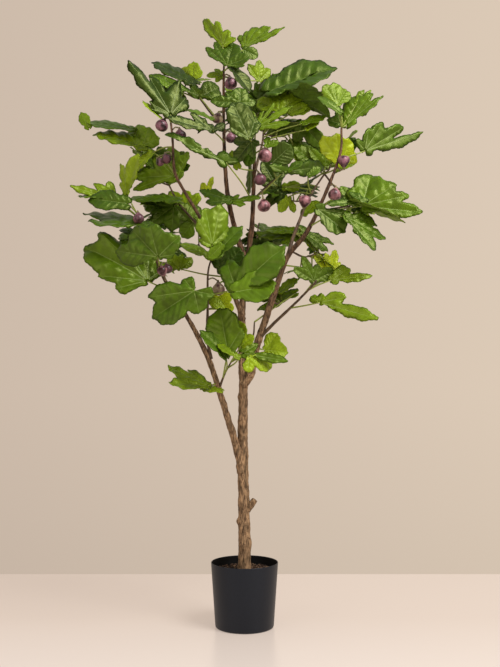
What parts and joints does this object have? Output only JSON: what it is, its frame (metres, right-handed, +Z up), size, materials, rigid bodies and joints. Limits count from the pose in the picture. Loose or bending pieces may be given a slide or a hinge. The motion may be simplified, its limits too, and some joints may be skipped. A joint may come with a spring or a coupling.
{
  "type": "artificial potted fig tree",
  "caption": "Slender made fig tree in a plain black tapered pot: a brown trunk that forks low, ascending boughs, and an open crown of large lobed green leaves with small purple figs.",
  "frame": {"origin": "centre of the pot's flat underside, on the floor", "axes": "+Z up along the trunk, -Y towards the front of the tree as pictured, +X to the viewer's right"},
  "size_m": [1.053, 0.7574, 1.8],
  "materials": {
    "pot_plastic": "satin black moulded plastic",
    "plug_cement": "set cement, hidden under the chips",
    "bark_chips": "loose brown bark chips and fibre",
    "bark": "moulded brown bark over a wire core",
    "twig_bark": "dark brown wrapped wire",
    "foliage": "printed polyester leaves, partly glossy"
  },
  "bodies": {
    "root": {"centre_right_twig": "twig_bark", "chip_topping": "bark_chips", "foliage_centre_back": "foliage", "foliage_far_left": "foliage", "foliage_far_left_high": "foliage", "foliage_far_right_high": "foliage", "foliage_far_right_low": "foliage", "foliage_front_high": "foliage", "foliage_front_middle": "foliage", "foliage_front_star": "foliage", "foliage_high_back": "foliage", "foliage_high_front": "foliage", "foliage_high_left": "foliage", "foliage_high_right": "foliage", "foliage_inner_left": "foliage", "foliage_inner_left_high": "foliage", "foliage_inner_right": "foliage", "foliage_inner_right_high": "foliage", "foliage_left_back": "foliage", "foliage_left_centre": "foliage", "foliage_left_far_back": "foliage", "foliage_left_front": "foliage", "foliage_left_low_back": "foliage", "foliage_left_low_front": "foliage", "foliage_left_lower": "foliage", "foliage_low_back": "foliage", "foliage_low_centre": "foliage", "foliage_low_front": "foliage", "foliage_low_left": "foliage", "foliage_low_right": "foliage", "foliage_middle_back": "foliage", "foliage_right_back_low": "foliage", "foliage_right_far_back": "foliage", "foliage_right_low_middle": "foliage", "foliage_right_lower": "foliage", "foliage_right_middle": "foliage", "foliage_right_top": "foliage", "foliage_right_upper": "foliage", "foliage_top_left": "foliage", "foliage_top_right": "foliage", "foliage_upper_left": "foliage", "foliage_upper_right_back": "foliage", "front_twig": "twig_bark", "high_back_bough": "twig_bark", "high_left_twig": "twig_bark", "left_back_bough": "twig_bark", "left_bough": "bark", "left_inner_bough": "twig_bark", "low_back_bough": "bark", "low_twig": "twig_bark", "lower_right_bough": "twig_bark", "middle_stem": "bark", "plug": "plug_cement", "pot": "pot_plastic", "right_bough": "bark", "right_inner_bough": "twig_bark", "right_twig": "twig_bark", "top_bough": "bark", "trunk": "bark", "upper_left_bough": "bark"}
  },
  "joints": []
}
